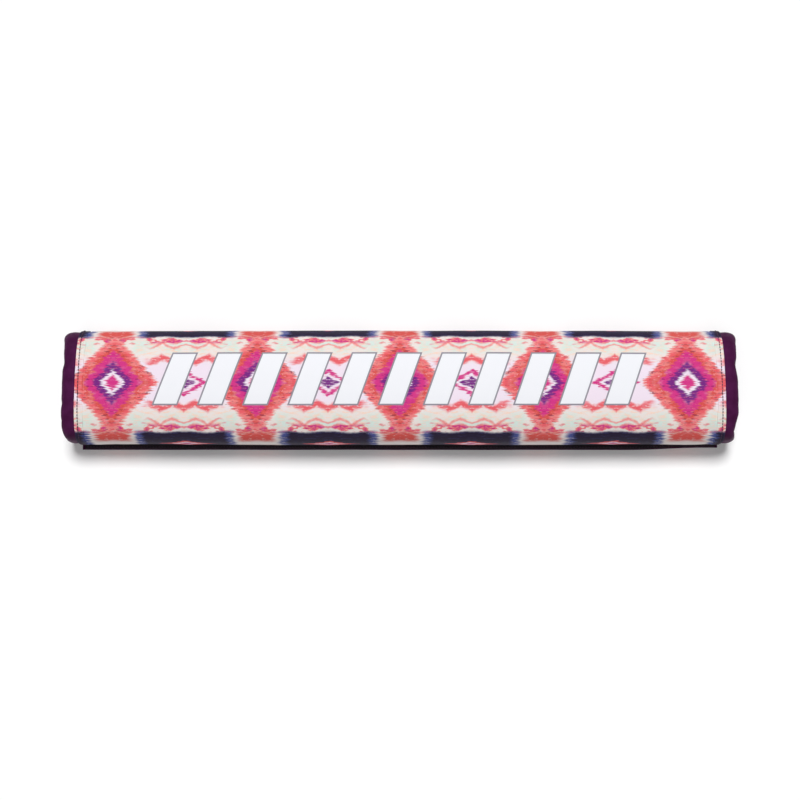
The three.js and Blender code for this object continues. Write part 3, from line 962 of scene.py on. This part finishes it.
def depth_in_lozenge(recipe, along_pad, across, half_length, half_width):
    """1 in the middle and 0 on the edge."""
    depth = recipe.calc("SUBTRACT", 1.0, recipe.calc("DIVIDE", along_pad, half_length))
    return recipe.calc("SUBTRACT", depth, recipe.calc("DIVIDE", across, half_width))


def lozenges(recipe, spot, colour):
    rise, times = recipe.rise, recipe.times
    lozenge = depth_in_lozenge(recipe, spot.cell, spot.across, LOZENGE_LENGTH, LOZENGE_WIDTH)
    colour = spot.rings(colour, lozenge, LOZENGE_INKS, 0.03)
    pale = times(rise(lozenge, 0.0, 0.06), rise(lozenge, 0.36, 0.3), rise(spot.patches, 0.5, 0.6))
    colour = recipe.paint(colour, SALMON, times(pale, 0.6))
    dark = times(rise(lozenge, -0.1, 0.0), rise(lozenge, 0.6, 0.45), rise(spot.strokes, 0.56, 0.62))
    colour = recipe.paint(colour, PLUM, times(dark, 0.7))
    diamond = depth_in_lozenge(recipe, spot.beside, spot.across, DIAMOND_LENGTH, DIAMOND_WIDTH)
    colour = spot.rings(colour, diamond, DIAMOND_INKS, 0.05)
    return recipe.paint(colour, LILAC, times(rise(spot.cloud, 0.5, 0.75), 0.25))


print("inks in a lozenge:", len(LOZENGE_INKS), "and in a small diamond:", len(DIAMOND_INKS))

# %% [markdown]
# Along both sides runs a navy band, broken beside each lozenge. Its ends run out into
# indigo, because less dye reached the threads there. A slim lens of coral and lilac sits
# in it where the pattern turns back.

# %% Dye the bands along the sides
LENS_LENGTH, LENS_WIDTH = 27.0, 10.0
LENS_INKS = [(0.0, CORAL), (0.3, LILAC), (0.6, MAGENTA)]


def side_bands(recipe, spot, colour):
    rise, times = recipe.rise, recipe.times
    side = rise(spot.across, BAND_FROM - 3, BAND_FROM + 2)
    fringe = times(side, rise(spot.cell, BAND_GAP - 8, BAND_GAP - 2))
    colour = spot.dye(colour, INDIGO, fringe)
    colour = recipe.paint(colour, NAVY, times(side, rise(spot.cell, BAND_GAP - 1, BAND_GAP + 6)))
    inner = rise(spot.cell, BAND_GAP + 8, BAND_GAP + 14)
    faded = times(side, inner, rise(spot.holes, 0.52, 0.7))
    colour = recipe.paint(colour, INDIGO, times(faded, 0.45))
    lens = depth_in_lozenge(recipe, spot.beside, spot.from_turn, LENS_LENGTH, LENS_WIDTH)
    return spot.rings(colour, lens, LENS_INKS, 0.06)


print("each navy band is", LOZENGE_PITCH - 2 * BAND_GAP, "mm long")

# %% [markdown]
# The bars along the crown are a thick white ink with a thin grey outline. They could be
# thin pieces laid on the cover, but a mask follows every fold and never lifts. The grey is
# laid first and a little larger, and the white on top of it.

# %% The white bars
WHITE_INK, GREY_INK = tint(237, 238, 243), tint(146, 142, 152)
BAR_PITCH, BAR_LEAN, BAR_COUNT = 47.0, 0.35, 11
BAR_HALF_WIDE, BAR_HALF_TALL = BAR_PITCH / 4, 27.0
BAR_MIDDLE, BAR_OUTLINE = 3.0, 1.7


def leaning_bars(recipe, colour, x, rim):
    """The colour with the bars on it, and where the ink is."""
    calc = recipe.calc
    from_middle = calc("SUBTRACT", rim, BAR_MIDDLE)
    leaned = calc("MULTIPLY_ADD", from_middle, -BAR_LEAN, x)
    from_bar = calc("PINGPONG", leaned, BAR_PITCH / 2)
    from_middle = calc("ABSOLUTE", from_middle)
    run = (BAR_COUNT - 1) * BAR_PITCH / 2 + BAR_HALF_WIDE
    for grow, ink in ((BAR_OUTLINE, GREY_INK), (0.0, WHITE_INK)):
        wide, high = BAR_HALF_WIDE + grow, BAR_HALF_TALL + grow
        inside = recipe.rise(from_bar, wide + 0.2, wide - 0.2)
        tall = recipe.rise(from_middle, high + 0.2, high - 0.2)
        within = calc("LESS_THAN", calc("ABSOLUTE", leaned), run + grow + 0.5)
        inked = recipe.times(inside, tall, within)
        colour = recipe.paint(colour, ink, inked)
    return colour, inked


print("bars:", BAR_COUNT, "of", 2 * BAR_HALF_WIDE, "by", 2 * BAR_HALF_TALL, "mm")

# %% [markdown]
# Under the print is a woven polyester. Its threads could be modelled, but at a millimetre
# each a bump does, with a little shade between them and a short fuzz over all. The white
# ink fills the weave, so there it is smoother and glossier, and the threads fade.

# %% Printed polyester
def printed_polyester():
    recipe = Recipe("printed_polyester")
    place, x, rim = recipe.flat_cloth()
    spot = PrintPlace(recipe, place, x, rim)
    colour = side_bands(recipe, spot, lozenges(recipe, spot, ground(recipe, spot)))
    colour, inked = leaning_bars(recipe, colour, x, rim)
    bare = recipe.calc("MULTIPLY_ADD", inked, -0.8, 1.0)
    threads = recipe.times(recipe.weave(x, rim, 1.1), bare)
    fuzz = recipe.grain(place, 1.3, 3.0, 0.7)
    # Painted shade on the weave: a dark tint over the threads, stronger where the fuzz is.
    colour = recipe.paint(colour, tint(48, 34, 52), recipe.times(threads, fuzz, 0.16))
    rough = recipe.calc("MULTIPLY_ADD", inked, -0.25, 0.85)
    rough = recipe.calc("MULTIPLY_ADD", fuzz, -0.15, rough)
    recipe.set(Base_Color=colour, Roughness=rough)
    recipe.bump(recipe.calc("ADD", threads, recipe.times(fuzz, bare)), 0.35, 0.15 * MM)
    recipe.set(Sheen_Weight=0.05, Sheen_Roughness=0.5, Specular_IOR_Level=0.2)
    return recipe.done()


polyester = printed_polyester()

# %% [markdown]
# The ends, the lining and the flap are a tightly woven nylon, dark plum with a soft shine.
# A little sheen lifts its edges, and slow noise in the roughness breaks up the highlights
# the way creased cloth does.

# %% Plum nylon
def plum_nylon():
    recipe = Recipe("plum_nylon")
    place, x, rim = recipe.flat_cloth()
    threads = recipe.weave(x, rim, 0.7)
    slub = recipe.grain(place, (0.3, 0.06), 3.0)
    worn = recipe.grain(place, 0.08, 3.0)
    colour = recipe.paint(tint(62, 19, 54), tint(77, 28, 70), recipe.rise(worn, 0.3, 0.75))
    # Painted shade on the weave: the threads get a darker plum.
    colour = recipe.paint(colour, tint(40, 8, 36), recipe.times(threads, 0.25))
    recipe.set(Base_Color=colour, Roughness=recipe.calc("MULTIPLY_ADD", slub, 0.3, 0.45))
    recipe.bump(recipe.calc("ADD", threads, recipe.times(slub, 2.0)), 0.3, 0.12 * MM)
    recipe.set(Sheen_Weight=0.04, Sheen_Roughness=0.35, Specular_IOR_Level=0.25)
    recipe.set(Sheen_Tint=tint(220, 130, 200), Specular_Tint=tint(190, 90, 180))
    return recipe.done()


nylon = plum_nylon()

# %% [markdown]
# Hook tape and loop tape are both black, and differ in their pile: fine stiff hooks on one,
# a coarser fuzz on the other. Real hooks would be thousands of tiny pieces, and from a step
# away a bump says the same. The thread is a dark plum with a slight twist.

# %% Black tape and thread
def black_tape(name, pile_scale, pile_height):
    recipe = Recipe(name)
    place, x, rim = recipe.flat_cloth()
    pile = recipe.grain(place, pile_scale, 4.0, 0.75)
    ribs = recipe.weave(x, rim, 1.6)
    colour = recipe.paint(tint(30, 22, 30), tint(58, 48, 58), recipe.rise(pile, 0.45, 0.75))
    recipe.set(Base_Color=colour, Roughness=recipe.calc("MULTIPLY_ADD", pile, 0.3, 0.6))
    recipe.bump(recipe.calc("ADD", pile, ribs), 0.8, pile_height)
    recipe.set(Sheen_Weight=0.2, Sheen_Roughness=0.5, Specular_IOR_Level=0.3)
    return recipe.done()


def dark_thread():
    recipe = Recipe("dark_thread")
    place = recipe.add("ShaderNodeTexCoord").outputs["Object"]
    twist = recipe.grain(place, (1800, 1800, 2))
    colour = recipe.paint(tint(44, 18, 42), tint(74, 42, 70), recipe.rise(twist, 0.4, 0.65))
    recipe.set(Base_Color=colour, Roughness=recipe.calc("MULTIPLY_ADD", twist, 0.3, 0.45))
    return recipe.done()


hook_pile = black_tape("hook_pile", 1.6, 0.6 * MM)
loop_pile = black_tape("loop_pile", 0.9, 0.5 * MM)
thread = dark_thread()

# %% [markdown]
# The foam is hidden by the cloth round it, and is finished in case a seam gapes. Its skin
# is cells of about a millimetre, each a shallow dimple. Plain noise has no cells, and a
# Voronoi texture has.

# %% Closed-cell foam
def closed_cell_foam():
    recipe = Recipe("closed_cell_foam")
    place = recipe.add("ShaderNodeTexCoord").outputs["Object"]
    texture = recipe.add("ShaderNodeTexVoronoi", {"Vector": place, "Scale": 900.0})
    cells = texture.outputs["Distance"]
    # Painted shade: each cell is darker towards its middle, where its dimple is deepest.
    colour = recipe.paint(tint(62, 62, 66), tint(92, 92, 98), recipe.rise(cells, 0.1, 0.6))
    recipe.set(Base_Color=colour, Roughness=recipe.calc("MULTIPLY_ADD", cells, -0.2, 0.95))
    recipe.bump(cells, 0.5, 0.2 * MM)
    return recipe.done()


foam = closed_cell_foam()

# %% [markdown]
# Now each piece gets its material. The foam keeps its packed solid, which only changes
# colour.

# %% Give each piece its material
def dress(piece, material):
    piece.data.materials.clear()
    piece.data.materials.append(material)


dress(cover, polyester)
for cloth_piece in (left_end, right_end, lining, flap):
    dress(cloth_piece, nylon)
dress(hooks, hook_pile)
dress(loops, loop_pile)
for row in rows:
    dress(row, thread)
for slot in frame["nodes"]["foam_core"].material_slots:
    slot.material = foam
print("rows of thread:", len(rows))

# %% [markdown]
# The pad has no joint, so each piece rides on the one body. A piece that stands for a solid
# takes its place, and the solid is hidden.

# %% Tie the pieces to the solids
STANDS_FOR = [
    (cover, "outer_cover", "printed_cover"),
    (left_end, "end_gusset_left", "lining"),
    (right_end, "end_gusset_right", "lining"),
    (lining, "inner_lining", "lining"),
    (flap, "closure_flap", "lining"),
    (hooks, "hook_tape", "tape"),
    (loops, "loop_tape", "tape"),
]
for piece, node, slot_name in STANDS_FOR:
    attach(piece, "root")
    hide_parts(node)
for row in rows:
    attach(row, "root")
print("pieces that stand for a solid:", len(STANDS_FOR))

# %% [markdown]
# The cover and the ends are filled with foam. The others are flat sheets: the width of each
# when it lies flat is measured along its section, so that it could be cut from a roll.

# %% Measure the flat sheets
lining_width = float(along(lining_row(0))[-1])
flap_width = float(along(flap_line(0))[-1])
loop_width = float(along(below_body(np.linspace(LOOP_FRONT, LOOP_BACK, 40), SEAT))[-1])

# %% [markdown]
# The pad was photographed on white paper. The floor is a plain pale sheet that takes the
# pad's shadow. For the camera, and in anything glossy, it glows a little, so that it is
# white where no shadow falls. No more light reaches the pad for that.

# %% Floor
FLOOR_GLOW = 0.06


def white_floor():
    recipe = Recipe("white_floor")
    recipe.set(Base_Color=tint(246, 246, 246), Roughness=0.9, Specular_IOR_Level=0.0)
    paths = recipe.add("ShaderNodeLightPath").outputs
    seen = recipe.calc("MAXIMUM", paths["Is Camera Ray"], paths["Is Glossy Ray"])
    seen = recipe.calc("MAXIMUM", seen, paths["Is Transmission Ray"])
    recipe.set(Emission_Color=(1, 1, 1, 1), Emission_Strength=recipe.times(seen, FLOOR_GLOW))
    return recipe.done()


bpy.ops.mesh.primitive_plane_add(size=12, location=(0, 0, -SEAT))
floor = bpy.context.object
floor.name = "paper_floor"
dress(floor, white_floor())
print("floor:", floor.dimensions.x, "m wide")

# %% [markdown]
# The light is a large soft source high above and a little behind: the pad's shadow starts
# dark under its front and is gone 19 mm further out. That run tells the source's tilt and
# width, since the pad's side is 35 mm above the floor. A sun lamp with a wide disc lights
# the whole floor alike.
#
# A weaker one in front and a dim sky fill the shadows to a quarter of the full light.

# %% Light
FULL_LIGHT = math.pi * 1.05
KEY_SHARE, FRONT_SHARE, SKY_SHARE = 0.77, 0.14, 0.09


def sun(name, tilt_back, turn, disc, share):
    """A sun lamp tilted back from overhead, which gives a share of the floor's light."""
    data = bpy.data.lights.new(name, "SUN")
    data.angle = math.radians(disc)
    data.energy = FULL_LIGHT * share / math.cos(math.radians(tilt_back))
    lamp = bpy.data.objects.new(name, data)
    lamp.rotation_euler = (math.radians(-tilt_back), 0, math.radians(turn))
    bpy.context.collection.objects.link(lamp)


sun("key_light", tilt_back=19, turn=0, disc=22, share=KEY_SHARE)
sun("front_light", tilt_back=-25, turn=-12, disc=44, share=FRONT_SHARE)

world = bpy.data.worlds.new("studio")
bpy.context.scene.world = world
world.use_nodes = True
sky = world.node_tree.nodes["Background"]
sky.inputs["Color"].default_value = (1, 1, 1, 1)
paths = world.node_tree.nodes.new("ShaderNodeLightPath")
strength = world.node_tree.nodes.new("ShaderNodeMapRange")
strength.inputs["To Min"].default_value = FULL_LIGHT / math.pi * SKY_SHARE
strength.inputs["To Max"].default_value = 1.0
world.node_tree.links.new(paths.outputs["Is Camera Ray"], strength.inputs["Value"])
world.node_tree.links.new(strength.outputs["Result"], sky.inputs["Strength"])
print("light on the floor, as a share of a colour's own:", FULL_LIGHT / math.pi)

# %% [markdown]
# The camera looks down steeply, at 79 degrees, from about a metre and a half. Its aim lies
# in front of the crown, so that the pad sits a little above the picture's middle. The
# Standard view transform shows each colour as it was written.

# %% Camera
ELEVATION = math.radians(79)
DISTANCE = 1.5
FOCAL_PIXELS, FRAME_PIXELS = 1439, 800
AIM = Vector((0, -19.9 * MM, CROWN))

camera_data = bpy.data.cameras.new("camera")
camera_data.sensor_width = 36
camera_data.lens = FOCAL_PIXELS * camera_data.sensor_width / FRAME_PIXELS
camera = bpy.data.objects.new("camera", camera_data)
back = Vector((0, -math.cos(ELEVATION), math.sin(ELEVATION)))
camera.location = AIM + back * DISTANCE
camera.rotation_euler = (-back).to_track_quat("-Z", "Y").to_euler()
bpy.context.collection.objects.link(camera)
bpy.context.scene.camera = camera
bpy.context.scene.view_settings.view_transform = "Standard"
print("lens:", round(camera_data.lens, 1), "mm")

# %% [markdown]
